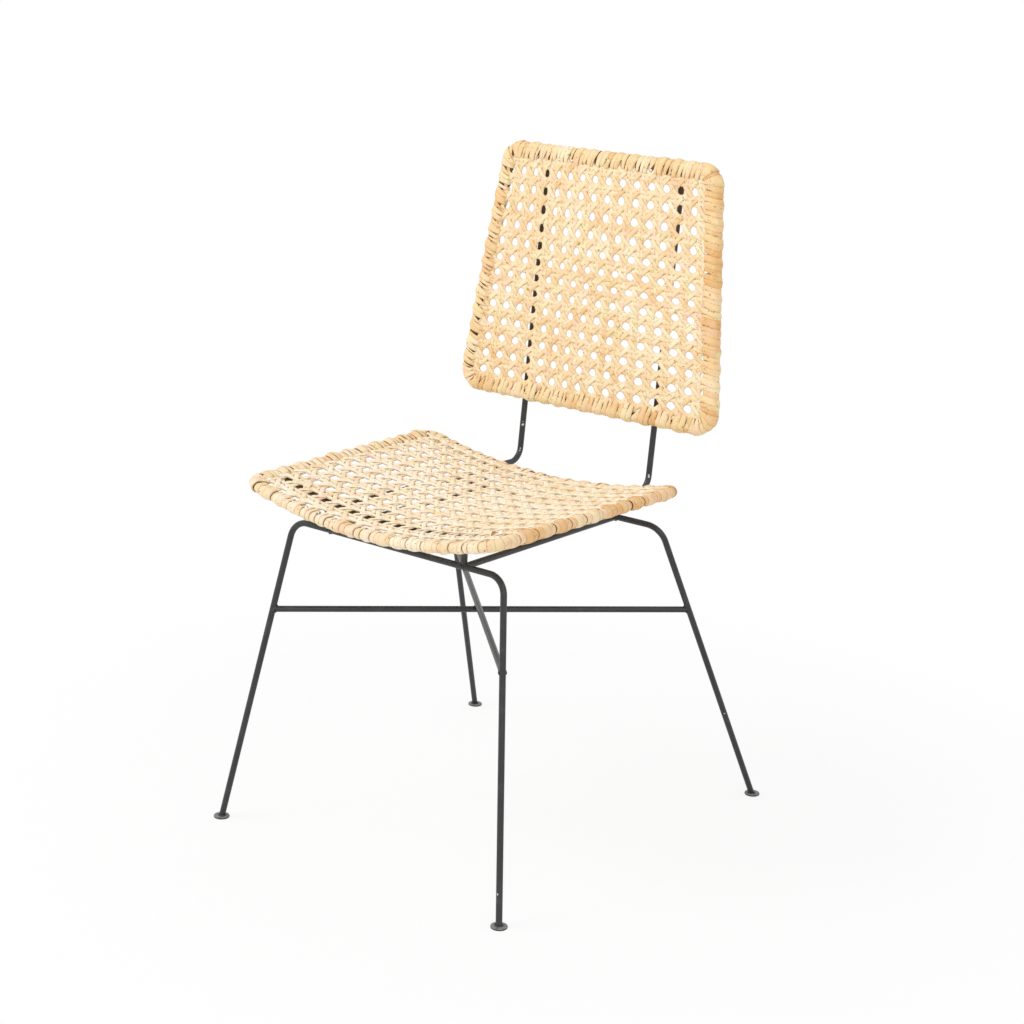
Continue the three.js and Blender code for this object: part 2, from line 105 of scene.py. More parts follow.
class Bench:
    """A node tree in the making."""

    def __init__(self, tree):
        self.tree = tree

    def node(self, kind, settings=None, sockets=None):
        made = self.tree.nodes.new(kind)
        for name, value in (settings or {}).items():
            if name == "stops":
                ramp = made.color_ramp
                ramp.elements[0].position, ramp.elements[0].color = value[0]
                ramp.elements[1].position, ramp.elements[1].color = value[-1]
                for place, colour in value[1:-1]:
                    ramp.elements.new(place).color = colour
            else:
                setattr(made, name, value)
        for name, value in (sockets or {}).items():
            if isinstance(name, int):
                socket = made.inputs[name]
            else:
                socket = next(s for s in made.inputs if s.enabled and name in (s.name, s.identifier))
            if isinstance(value, Wire):
                self.tree.links.new(value.socket, socket)
            else:
                socket.default_value = value
        return Wire(self, next((s for s in made.outputs if s.enabled), None))

    def maths(self, operation, *values):
        return self.node("ShaderNodeMath", {"operation": operation}, dict(enumerate(values)))

    def mixed(self, share, first, second):
        settings = {"data_type": "RGBA", "blend_type": "MIX", "clamp_factor": True}
        return self.node("ShaderNodeMix", settings, {"Factor": share, "A": first, "B": second})

    def span(self, value, low, high, to_low=0.0, to_high=1.0):
        """value taken smoothly from low..high to to_low..to_high."""
        settings = {"interpolation_type": "SMOOTHSTEP"}
        sockets = {"Value": value, "From Min": low, "From Max": high, "To Min": to_low, "To Max": to_high}
        return self.node("ShaderNodeMapRange", settings, sockets)

    def place(self):
        return self.node("ShaderNodeTexCoord").out("Object")

    def noise(self, place, scale, detail=2.0, roughness=0.5):
        sockets = {"Vector": place, "Scale": scale, "Detail": detail, "Roughness": roughness}
        return self.node("ShaderNodeTexNoise", None, sockets)


def fresh_material(name):
    material = bpy.data.materials.new(name)
    material.use_nodes = True
    material.node_tree.nodes.clear()
    return material, Bench(material.node_tree)


def lay_floor():
    material, bench = fresh_material("pale studio floor")
    place = bench.place()
    apart = bench.node("ShaderNodeVectorMath", {"operation": "LENGTH"}, {0: place}).out("Value")
    grain = bench.noise(place, 3.0)
    tone = bench.mixed(grain, (0.90, 0.90, 0.90, 1.0), (0.92, 0.92, 0.92, 1.0))
    matt = bench.node("ShaderNodeBsdfDiffuse", None, {"Color": tone})
    bright = bench.node("ShaderNodeEmission", None, {"Color": WHITE, "Strength": 1.0})
    seen = bench.node("ShaderNodeLightPath").out("Is Camera Ray")
    share = seen * bench.span(apart, 0.45, 1.1, 0.8, 1.0)
    both = bench.node("ShaderNodeMixShader", None, {0: share, 1: matt, 2: bright})
    bench.node("ShaderNodeOutputMaterial", None, {"Surface": both})
    mesh = bpy.data.meshes.new("studio_floor")
    corners = [(x * FLOOR_HALF, y * FLOOR_HALF, 0.0) for x, y in ((-1, -1), (1, -1), (1, 1), (-1, 1))]
    mesh.from_pydata(corners, [], [(0, 1, 2, 3)])
    mesh.materials.append(material)
    new_object("studio_floor", mesh)


def light_studio():
    world = bpy.data.worlds.new("white studio")
    bpy.context.scene.world = world
    world.use_nodes = True
    world.node_tree.nodes.clear()
    bench = Bench(world.node_tree)
    path = bench.node("ShaderNodeLightPath")
    seen = path.out("Is Camera Ray")
    for ray in ("Is Glossy Ray", "Is Transmission Ray"):
        seen = bench.maths("MAXIMUM", seen, path.out(ray))
    strength = SKY_LIGHT + seen * (1.0 - SKY_LIGHT)
    sky = bench.node("ShaderNodeBackground", None, {"Color": WHITE, "Strength": strength})
    bench.node("ShaderNodeOutputWorld", None, {"Surface": sky})
    for name, place, size, power in LAMPS:
        lamp = bpy.data.lights.new(name + " softbox", "AREA")
        lamp.size = size
        lamp.energy = power
        holder = new_object(name + "_softbox", lamp)
        holder.location = place
        towards = LAMP_TARGET - holder.location
        holder.rotation_euler = towards.to_track_quat("-Z", "Y").to_euler()


stand_camera()
lay_floor()
light_studio()
bpy.context.scene.view_settings.view_transform = "Standard"


# The two leg frames, each one round steel rod of 8 mm bent into an arch, and
# painted satin black. The paint is slightly rough and is chipped here and there, and carries a few painted
# highlight streaks along the uprights.

ROD_RADIUS = 0.004
ROD_SIDES = 28
BEND_STEPS = 12
LEG_BEND = 0.024
SOLE_TOP = 0.0022
BAR_HEIGHT = 0.402
FRONT_FOOT = Vector((0.228, -0.275, 0.0))
FRONT_CORNER = Vector((0.1655, -0.215, BAR_HEIGHT))
REAR_FOOT = Vector((0.243, 0.275, 0.0))
REAR_CORNER = Vector((0.1755, 0.100, BAR_HEIGHT))
LEGS = ((FRONT_FOOT, FRONT_CORNER), (REAR_FOOT, REAR_CORNER))
PAINT_DARK = (0.016, 0.016, 0.017, 1.0)
PAINT_LIGHT = (0.032, 0.032, 0.034, 1.0)
PAINT_DUST = (0.085, 0.080, 0.076, 1.0)
PAINTED_CANE_BOUNCE = (0.066, 0.034, 0.013, 1.0)
CHIP_AND_GLINT_GREY = (0.62, 0.60, 0.57, 1.0)
# Light spots and how far each reaches: partly chips where the paint is off, partly painted highlight streaks
# along the uprights by their bends.
CHIP_AND_GLINT_SPOTS = (
    ((-0.1037, 0.1718, 0.4758), 0.0016),
    ((-0.1041, 0.1720, 0.4800), 0.0010),
    ((-0.1036, 0.1686, 0.4425), 0.0013),
    ((-0.1040, 0.1680, 0.4402), 0.0010),
    ((0.1083, 0.1690, 0.4440), 0.0013),
    ((0.1078, 0.1692, 0.4462), 0.0011),
    ((0.1072, 0.1694, 0.4482), 0.0008),
    ((0.2237, 0.2159, 0.1297), 0.0016),
    ((0.2220, -0.2730, 0.0402), 0.0017),
)


def end_material(bench, colour, rough, relief, strength, depth, gloss=0.5):
    """Ends a material, with its relief as a bump of some strength and a depth in metres."""
    sockets = {"Strength": strength, "Distance": depth, "Height": relief}
    bump = bench.node("ShaderNodeBump", None, sockets)
    sockets = {"Base Color": colour, "Roughness": rough, "Normal": bump, "Specular IOR Level": gloss}
    shell = bench.node("ShaderNodeBsdfPrincipled", None, sockets)
    bench.node("ShaderNodeOutputMaterial", None, {"Surface": shell})


def black_paint():
    """The rods' paint. Close under the seat and behind the back a warm brown is painted in, as painted light
    and shade that the cane throws on the rods.
    """
    material, bench = fresh_material("satin black paint")
    place = bench.place()
    spot = bench.node("ShaderNodeSeparateXYZ", None, {0: place})
    broad = bench.noise(place, 9.0, 3.0)
    fine = bench.noise(place, 900.0, 2.0)
    dust = bench.noise(place, 60.0, 4.0, 0.6)
    base = bench.mixed(broad, PAINT_DARK, PAINT_LIGHT)
    base = bench.mixed(bench.span(dust, 0.50, 0.75, 0.0, 0.35), base, PAINT_DUST)
    height = spot.out("Z")
    # Painted warm bounce light from the cane, on the rods close under the seat and behind the back.
    bounce_under_seat = bench.span(height, 0.412, 0.420) * bench.span(height, 0.466, 0.458)
    bounce_under_seat = bounce_under_seat * bench.span(spot.out("Y"), 0.13, 0.11)
    bounce_behind_back = bench.span(height, 0.520, 0.530)
    base = bench.mixed((bounce_under_seat + bounce_behind_back) * 0.8, base, PAINTED_CANE_BOUNCE)
    knocks = bench.noise(place, 140.0, 2.0, 0.7)
    chips_and_glints = bench.span(knocks, 0.785, 0.80)
    # The listed spots add chips and, on the uprights, painted highlight streaks in the same light grey.
    for lightened, reach in CHIP_AND_GLINT_SPOTS:
        apart = bench.node("ShaderNodeVectorMath", {"operation": "DISTANCE"}, {0: place, 1: lightened})
        ragged = apart.out("Value") + (knocks - 0.5) * 0.006
        chips_and_glints = bench.maths("MAXIMUM", chips_and_glints, bench.span(ragged, reach, reach * 0.6))
    base = bench.mixed(chips_and_glints, base, CHIP_AND_GLINT_GREY)
    rough = 0.25 + dust * 0.16 + chips_and_glints * 0.3
    end_material(bench, base, rough, fine * 0.35 + dust - chips_and_glints * 1.5, 0.22, 0.0002)
    return material


def new_form(name, inputs):
    """A Geometry Nodes tree with named inputs, its bench, its input node and its path as a curve."""
    tree = bpy.data.node_groups.new(name, "GeometryNodeTree")
    for label, kind in (("Path", "Geometry"), *inputs, ("Finish", "Material")):
        tree.interface.new_socket(label, in_out="INPUT", socket_type="NodeSocket" + kind)
    tree.interface.new_socket("Shape", in_out="OUTPUT", socket_type="NodeSocketGeometry")
    bench = Bench(tree)
    given = bench.node("NodeGroupInput")
    return tree, bench, given, bench.node("GeometryNodeMeshToCurve", None, {"Mesh": given.out("Path")})


def end_form(bench, given, line, ring, swell=1.0):
    """Sweeps a ring along the line and ends the tree."""
    sockets = {"Curve": line, "Profile Curve": ring, "Scale": swell, "Fill Caps": True}
    shape = bench.node("GeometryNodeCurveToMesh", None, sockets)
    smooth = bench.node("GeometryNodeSetShadeSmooth", None, {"Geometry": shape})
    real = bench.node("GeometryNodeRealizeInstances", None, {"Geometry": smooth})
    done = bench.node("GeometryNodeSetMaterial", None, {"Geometry": real, "Material": given.out("Finish")})
    bench.node("NodeGroupOutput", None, {0: done})


def bent_rod_form():
    inputs = (("Radius", "Float"), ("Bend", "Float"), ("Bend steps", "Int"), ("Sides", "Int"))
    tree, bench, given, line = new_form("round rod bent along a path", inputs)
    sockets = {"Count": given.out("Bend steps"), "Radius": given.out("Bend"), "Limit Radius": True}
    line = bench.node("GeometryNodeFilletCurve", {"mode": "POLY"}, {"Curve": line, **sockets})
    sockets = {"Resolution": given.out("Sides"), "Radius": given.out("Radius")}
    end_form(bench, given, line, bench.node("GeometryNodeCurvePrimitiveCircle", None, sockets))
    return tree


class Run:
    """One path: its points, which way its face looks, its colour tone and its swelling at each point."""

    def __init__(self, points, faces=None, tones=0.5, swells=1.0, closed=False):
        count = len(points)
        self.points = points
        self.faces = faces or [Vector((0.0, 0.0, 1.0))] * count
        self.tones = tones if isinstance(tones, list) else [tones] * count
        self.swells = swells if isinstance(swells, list) else [swells] * count
        self.closed = closed


def formed(name, runs, tree, finish, slot, replaced, **sizes):
    """Puts the paths through a tree and makes one plain piece of them that rides on the frame."""
    points, edges, faces, tones, swells, alongs = [], [], [], [], [], []
    for run in runs:
        first = len(points)
        travelled = 0.0
        for index, point in enumerate(run.points):
            if index:
                travelled += (point - run.points[index - 1]).length
                edges.append((first + index - 1, first + index))
            alongs.append(travelled)
        if run.closed:
            edges.append((first + len(run.points) - 1, first))
        points.extend(run.points)
        faces.extend(run.faces)
        tones.extend(run.tones)
        swells.extend(run.swells)
    mesh = bpy.data.meshes.new(name)
    mesh.from_pydata(points, edges, [])
    looks = mesh.attributes.new("face", "FLOAT_VECTOR", "POINT").data
    looks.foreach_set("vector", [part for face in faces for part in face])
    for label, values in (("tone", tones), ("swell", swells), ("along", alongs)):
        mesh.attributes.new(label, "FLOAT", "POINT").data.foreach_set("value", values)
    piece = new_object(name, mesh)
    step = piece.modifiers.new("form", "NODES")
    step.node_group = tree
    sizes["Finish"] = finish
    for item in tree.interface.items_tree:
        label = item.name.replace(" ", "_")
        if item.in_out == "INPUT" and label in sizes:
            step[item.identifier] = sizes[label]
    graph = bpy.context.evaluated_depsgraph_get()
    made = piece.evaluated_get(graph)
    shaped = bpy.data.meshes.new_from_object(made, preserve_all_data_layers=True, depsgraph=graph)
    piece.modifiers.remove(step)
    piece.data = shaped
    shaped.name = name
    bpy.data.meshes.remove(mesh)
    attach(piece, "root")
    if replaced:
        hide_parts(*replaced)


def lay_rod(node, path, bend=0.0):
    """A black rod along a path, in the place of its node."""
    steps = BEND_STEPS if bend else 1
    sizes = {"Radius": ROD_RADIUS, "Bend": bend, "Bend_steps": steps, "Sides": ROD_SIDES}
    formed(node + "_rod", [Run(path)], bent_rod, paint, "black_rod", [node], **sizes)


def mirrored(point):
    return Vector((-point.x, point.y, point.z))


def leg_point(foot, corner, height):
    return foot.lerp(corner, height / BAR_HEIGHT)


paint = black_paint()
bent_rod = bent_rod_form()
for node, (foot, corner) in zip(("front_leg_frame", "rear_leg_frame"), LEGS):
    start = leg_point(foot, corner, SOLE_TOP)
    lay_rod(node, [mirrored(start), mirrored(corner), corner, start], LEG_BEND)


# A round steel disc is welded under each leg, with its edge turned over.
# Its top is lighter grey in patches and its rim is dark.

DISC_SIDES = 48
DISC_TOP = 0.0028
# How far out and how high the edge of a disc is, from its sole to its top.
DISC_PROFILE = (
    (0.0094, 0.0), (0.01005, 0.0003), (0.01025, 0.0009), (0.01025, 0.0018),
    (0.0100, 0.0024), (0.0093, 0.0026), (0.0062, 0.0027),
)


def disc_paint():
    material, bench = fresh_material("worn paint of the foot discs")
    place = bench.place()
    height = bench.node("ShaderNodeSeparateXYZ", None, {0: place}).out("Z")
    dust = bench.noise(place, 220.0, 4.0, 0.65)
    top = bench.span(height, 0.0016, 0.0026) * bench.span(dust, 0.20, 0.55)
    base = bench.mixed(dust, (0.020, 0.020, 0.021, 1.0), (0.050, 0.048, 0.046, 1.0))
    base = bench.mixed(top * 0.85, base, (0.27, 0.265, 0.255, 1.0))
    end_material(bench, base, 0.4 + top * 0.25, dust, 0.3, 0.0003)
    return material


def foot_disc(node, centre):
    points = [centre.copy()]
    for reach, height in DISC_PROFILE:
        for side in range(DISC_SIDES):
            turn = math.tau * side / DISC_SIDES
            points.append(centre + Vector((reach * math.cos(turn), reach * math.sin(turn), height)))
    points.append(centre + Vector((0.0, 0.0, DISC_TOP)))
    last = 1 + (len(DISC_PROFILE) - 1) * DISC_SIDES
    faces = []
    for side in range(DISC_SIDES):
        after = (side + 1) % DISC_SIDES
        faces.append((0, 1 + after, 1 + side))
        for low in range(1, last, DISC_SIDES):
            high = low + DISC_SIDES
            faces.append((low + side, low + after, high + after, high + side))
        faces.append((last + side, last + after, len(points) - 1))
    mesh = bpy.data.meshes.new(node + "_worn")
    mesh.from_pydata(points, [], faces)
    mesh.materials.append(disc_finish)
    mesh.shade_smooth()
    disc = new_object(node + "_worn", mesh)
    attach(disc, "root")
    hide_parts(node)


disc_finish = disc_paint()
for side, turned in (("left", mirrored), ("right", Vector)):
    foot_disc("foot_disc_front_" + side, turned(FRONT_FOOT))
    foot_disc("foot_disc_rear_" + side, turned(REAR_FOOT))


# Two straight rods cross under the seat and tie each front leg to the rear leg
# on the other side. They lie on one another and are welded where they cross.

LOW_STRETCHER = 0.285
HIGH_STRETCHER = 0.2933
JOINT_GAP = 0.003


def shortened(start, end, length):
    step = (end - start).normalized() * length
    return [start + step, end - step]


low_front, low_rear = (leg_point(foot, corner, LOW_STRETCHER) for foot, corner in LEGS)
high_front, high_rear = (leg_point(foot, corner, HIGH_STRETCHER) for foot, corner in LEGS)
low_ends = [mirrored(low_front), low_rear]
high_ends = [high_front, mirrored(high_rear)]
lay_rod("stretcher_from_front_left", shortened(*low_ends, JOINT_GAP))
lay_rod("stretcher_from_front_right", shortened(*high_ends, JOINT_GAP))


# The seat rails join the front and the rear bar. Short risers on the bars carry
# the long side rods, which run back under the seat, bend up and hold the back.

RAIL_X = 0.106
FRONT_BAR_Y = -0.215
REAR_BAR_Y = 0.100
SIDE_ROD_START = -0.222
SIDE_ROD_FRONT_HEIGHT = 0.42857
SIDE_ROD_REAR_HEIGHT = 0.42648
SIDE_ROD_REAR_Y = 0.091
UPRIGHT_Y = 0.1705
UPRIGHT_BEND = 0.020
UPRIGHT_RISE = 0.424
UPRIGHT_LEAN = 0.0018
BACK_LEAN = math.radians(5.1)
BACK_UP = Vector((0.0, math.sin(BACK_LEAN), math.cos(BACK_LEAN)))
SIDES = (("left", -1.0), ("right", 1.0))


def side_rod_height(y):
    fall = SIDE_ROD_REAR_HEIGHT - SIDE_ROD_FRONT_HEIGHT
    return SIDE_ROD_FRONT_HEIGHT + (y - FRONT_BAR_Y) * fall / (SIDE_ROD_REAR_Y - FRONT_BAR_Y)


for side, sign in SIDES:
    x = sign * RAIL_X
    front = Vector((x, FRONT_BAR_Y + JOINT_GAP, BAR_HEIGHT))
    rear = Vector((x, REAR_BAR_Y - JOINT_GAP, BAR_HEIGHT))
    lay_rod("seat_rail_" + side, [front, rear])
    for part, y in (("riser_front_", FRONT_BAR_Y), ("riser_rear_", REAR_BAR_Y)):
        foot = Vector((x, y, BAR_HEIGHT + JOINT_GAP))
        head = Vector((x, y, side_rod_height(y) - JOINT_GAP))
        lay_rod(part + side, [foot, head])
    start = Vector((x, SIDE_ROD_START, side_rod_height(SIDE_ROD_START)))
    corner = Vector((x, UPRIGHT_Y, side_rod_height(UPRIGHT_Y)))
    head = corner + BACK_UP * UPRIGHT_RISE - Vector((UPRIGHT_LEAN, 0.0, 0.0))
    lay_rod("back_upright_" + side, [start, corner, head], UPRIGHT_BEND)


# One more rod, the bow, lies across the side rods under the front of the seat
# and follows its dish.

SEAT_ORIGIN = Vector((0.0, -0.269, 0.4287))
SEAT_DEPTH = 0.360
SEAT_FRONT_HALF = 0.1905
SEAT_REAR_HALF = 0.202
SEAT_RISE = 0.0031
DISH_DEPTH = 0.0276
DISH_LOSS = 0.0013
BOW_HALF = 0.1801
BOW_DEPTH = 0.054
BOW_LEVEL = -0.000634
BOW_STEPS = 20


def seat_lift(x, depth):
    """The height of the dished seat. It rises a little to the rear, where the dish is not so deep."""
    share = depth / SEAT_DEPTH
    half = SEAT_FRONT_HALF + (SEAT_REAR_HALF - SEAT_FRONT_HALF) * share
    return SEAT_RISE * share + (DISH_DEPTH - DISH_LOSS * share) * (x / half) ** 2


def seat_place(x, depth, height=0.0):
    """A point over the dished seat and the way the seat faces there."""
    step = 0.001
    slope_x = (seat_lift(x + step, depth) - seat_lift(x - step, depth)) / (2 * step)
    slope_y = (seat_lift(x, depth + step) - seat_lift(x, depth - step)) / (2 * step)
    facing = Vector((-slope_x, -slope_y, 1.0)).normalized()
    return SEAT_ORIGIN + Vector((x, depth, seat_lift(x, depth))) + facing * height, facing


bow_stations = [BOW_HALF * step / BOW_STEPS for step in range(-BOW_STEPS, BOW_STEPS + 1)]
lay_rod("seat_front_bow", [seat_place(x, BOW_DEPTH, BOW_LEVEL)[0] for x in bow_stations])


# Every joint of the rods is welded: a small rippled bead goes round each end
# and each crossing, painted over with the rest.

BEAD_WIDTH = 0.0026
BEAD_THICKNESS = 0.0024
END_BEAD_PROUD = 0.0003
END_BEAD_CLEAR = 0.0002
LEG_BEAD_PROUD = 0.0006
CROSSING_BEAD = 0.0030
BOW_BEAD_RISE = 0.0042


def strand_form():
    inputs = (("Width", "Float"), ("Thickness", "Float"), ("Sides", "Int"))
    tree, bench, given, line = new_form("flat strand along a path", inputs)
    facing = bench.node("GeometryNodeInputNamedAttribute", {"data_type": "FLOAT_VECTOR"}, {"Name": "face"})
    line = bench.node("GeometryNodeSetCurveNormal", {"mode": "FREE"}, {"Curve": line, "Normal": facing})
    sockets = {"Resolution": given.out("Sides"), "Radius": 0.5}
    ring = bench.node("GeometryNodeCurvePrimitiveCircle", None, sockets)
    turn = math.pi / given.out("Sides")
    spun = bench.node("ShaderNodeCombineXYZ", None, {"Z": turn})
    ring = bench.node("GeometryNodeTransform", None, {"Geometry": ring, "Rotation": spun})
    flat = bench.maths("COSINE", turn)
    where = bench.node("ShaderNodeSeparateXYZ", None, {0: bench.node("GeometryNodeInputPosition")})
    across = where.out("Y") * 2.0 / flat
    kept = {"data_type": "FLOAT", "domain": "POINT"}
    sockets = {"Geometry": ring, "Name": "across", "Value": across}
    ring = bench.node("GeometryNodeStoreNamedAttribute", kept, sockets)
    sockets = {"X": given.out("Thickness") / flat, "Y": given.out("Width") / flat, "Z": 1.0}
    size = bench.node("ShaderNodeCombineXYZ", None, sockets)
    ring = bench.node("GeometryNodeTransform", None, {"Geometry": ring, "Scale": size})
    swell = bench.node("GeometryNodeInputNamedAttribute", {"data_type": "FLOAT"}, {"Name": "swell"})
    end_form(bench, given, line, ring, swell)
    return tree


strand = strand_form()
weld_luck = random.Random(11)


def lay_strands(name, runs, finish, slot, nodes, width, thickness, sides=8):
    """One piece of flat strands, in the place of its nodes."""
    formed(name, runs, strand, finish, slot, nodes, Width=width, Thickness=thickness, Sides=sides)


def bead(ring, faces):
    swells = [weld_luck.uniform(0.72, 1.15) for _ in ring]
    return Run(ring, faces, 0.5, swells, True)


def spokes(first, second, count):
    """Even directions all round, from first by way of second."""
    turns = [math.tau * step / count for step in range(count)]
    return [first * math.cos(turn) + second * math.sin(turn) for turn in turns]


def end_bead(joint, into, axis):
    """A bead where a rod that leaves a joint along into meets the side of a rod along axis."""
    into = into.normalized()
    axis = axis.normalized()
    first = into.orthogonal().normalized()
    across = into - axis * into.dot(axis)
    outs = spokes(first, into.cross(first), 20)
    ring = []
    for out in outs:
        offset = out * (ROD_RADIUS + END_BEAD_PROUD)
        level = offset - axis * offset.dot(axis)
        a = across.dot(across)
        b = level.dot(across)
        c = level.dot(level) - (ROD_RADIUS + END_BEAD_CLEAR) ** 2
        along = (-b + math.sqrt(max(b * b - a * c, 0.0))) / a
        ring.append(joint + offset + into * along)
    return bead(ring, outs)


def crossing_bead(middle, first, second):
    """A bead round the spot where two rods lie on one another."""
    normal = first.cross(second).normalized()
    side = (first.normalized() + second.normalized()).normalized()
    outs = spokes(side, normal.cross(side), 16)
    return bead([middle + out * CROSSING_BEAD for out in outs], outs)


beads = []
front_way, rear_way = (corner - foot for foot, corner in LEGS)
for ends, legs in (
    (low_ends, (mirrored(front_way), rear_way)),
    (high_ends, (front_way, mirrored(rear_way))),
):
    beads.append(end_bead(ends[0], ends[1] - ends[0], legs[0]))
    beads.append(end_bead(ends[1], ends[0] - ends[1], legs[1]))
low_way = low_ends[1] - low_ends[0]
high_way = high_ends[1] - high_ends[0]
gap = high_ends[0] - low_ends[0]
share = (gap.x * high_way.y - gap.y * high_way.x) / (low_way.x * high_way.y - low_way.y * high_way.x)
crossing = low_ends[0] + low_way * share
crossing.z = (LOW_STRETCHER + HIGH_STRETCHER) / 2
beads.append(crossing_bead(crossing, low_way, high_way))
along_x = Vector((1.0, 0.0, 0.0))
along_y = Vector((0.0, 1.0, 0.0))
along_z = Vector((0.0, 0.0, 1.0))
for side, sign in SIDES:
    x = sign * RAIL_X
    beads.append(end_bead(Vector((x, FRONT_BAR_Y, BAR_HEIGHT)), along_y, along_x))
    beads.append(end_bead(Vector((x, REAR_BAR_Y, BAR_HEIGHT)), -along_y, along_x))
    for y in (FRONT_BAR_Y, REAR_BAR_Y):
        beads.append(end_bead(Vector((x, y, BAR_HEIGHT)), along_z, along_x))
        beads.append(end_bead(Vector((x, y, side_rod_height(y))), -along_z, along_y))
    under_bow = Vector((x, FRONT_BAR_Y, side_rod_height(FRONT_BAR_Y) + BOW_BEAD_RISE))
    beads.append(crossing_bead(under_bow, along_x, along_y))
    for foot, corner in LEGS:
        centre = leg_point(foot, corner, DISC_TOP)
        centre.x *= sign
        outs = spokes(along_x, along_y, 18)
        beads.append(bead([centre + out * (ROD_RADIUS + LEG_BEAD_PROUD) for out in outs], outs))
lay_strands("weld_beads", beads, paint, "black_rod", (), BEAD_WIDTH, BEAD_THICKNESS)


# The seat is dished from side to side: a bent rattan pole runs round its edge
# and an open net of split cane is woven across it. The hidden pole is painted dark brown, as the shade it
# lies in.

CANE_ROSY = (0.93, 0.62, 0.44, 1.0)
CANE_GREENISH = (0.86, 0.82, 0.46, 1.0)
CANE_BURNT = (0.86, 0.50, 0.24, 1.0)
CANE_GRAIN = (0.58, 0.33, 0.13, 1.0)
CANE_EDGE_AND_SHADE = (0.52, 0.30, 0.12, 1.0)
CANE_SPECK_AND_SHADE = (0.32, 0.16, 0.06, 1.0)


def shaded_pole_finish():
    material, bench = fresh_material("rattan pole painted dark as shade")
    place = bench.place()
    broad = bench.noise(place, 22.0, 3.0)
    fine = bench.noise(place, 420.0, 3.0, 0.6)
    # The pole is painted dark brown as painted shade, for the shade it lies in under the peel and the cane.
    base = bench.mixed(broad, (0.105, 0.048, 0.015, 1.0), (0.210, 0.105, 0.036, 1.0))
    base = bench.mixed(bench.span(fine, 0.52, 0.75, 0.0, 0.6), base, (0.050, 0.022, 0.008, 1.0))
    end_material(bench, base, 0.55 + fine * 0.2, fine, 0.3, 0.0004)
    return material


def split_cane(name, amber, straw, cream, edge_line_and_shade):
    """Cane whose colour goes from amber through straw to cream with the tone of its strand."""
    material, bench = fresh_material(name)
    tone, along, across = (
        bench.node("ShaderNodeAttribute", {"attribute_name": label}).out("Fac")
        for label in ("tone", "along", "across")
    )
    place = bench.place()
    sockets = {"X": along * 30.0, "Y": across * 4.0, "Z": tone * 91.0}
    stretched = bench.node("ShaderNodeCombineXYZ", None, sockets)
    fibre = bench.noise(stretched, 1.6, 4.0, 0.65)
    cloud = bench.noise(place, 28.0, 2.0)
    blush = bench.noise(place, 55.0, 2.0)
    burnt = bench.noise(place, 130.0, 2.0)
    speck_and_shade_noise = bench.noise(place, 330.0, 1.0)
    value = tone * 0.55 + cloud * 0.45 + (fibre - 0.5) * 0.35
    stops = [(0.18, (*amber, 1.0)), (0.50, (*straw, 1.0)), (0.80, (*cream, 1.0))]
    base = bench.node("ShaderNodeValToRGB", {"stops": stops}, {"Fac": value})
    for mask, colour in (
        (bench.span(blush, 0.52, 0.72, 0.0, 0.50), CANE_ROSY),
        (bench.span(blush, 0.46, 0.28, 0.0, 0.45), CANE_GREENISH),
        (bench.span(burnt, 0.58, 0.70, 0.0, 0.60), CANE_BURNT),
        (bench.span(fibre, 0.60, 0.78, 0.0, 0.30), CANE_GRAIN),
        # Each strand's edges are darkened: partly the cane's own thin brown edge line, partly painted shade
        # in the creases beside and between strands.
        (bench.span(bench.maths("ABSOLUTE", across), 0.80, 1.0, 0.0, edge_line_and_shade), CANE_EDGE_AND_SHADE),
        # Small brown specks, partly the cane's own marks and partly painted shade for the small shadows where
        # strands cross.
        (bench.span(speck_and_shade_noise, 0.665, 0.73, 0.0, 0.75), CANE_SPECK_AND_SHADE),
    ):
        base = bench.mixed(mask, base, colour)
    end_material(bench, base, 0.46 + fibre * 0.20, fibre * 0.6 + cloud * 0.2, 0.35, 0.0006, gloss=0.35)
    return material


def clamped(value):
    """The value as a share, between 0 and 1."""
    return min(max(value, 0.0), 1.0)


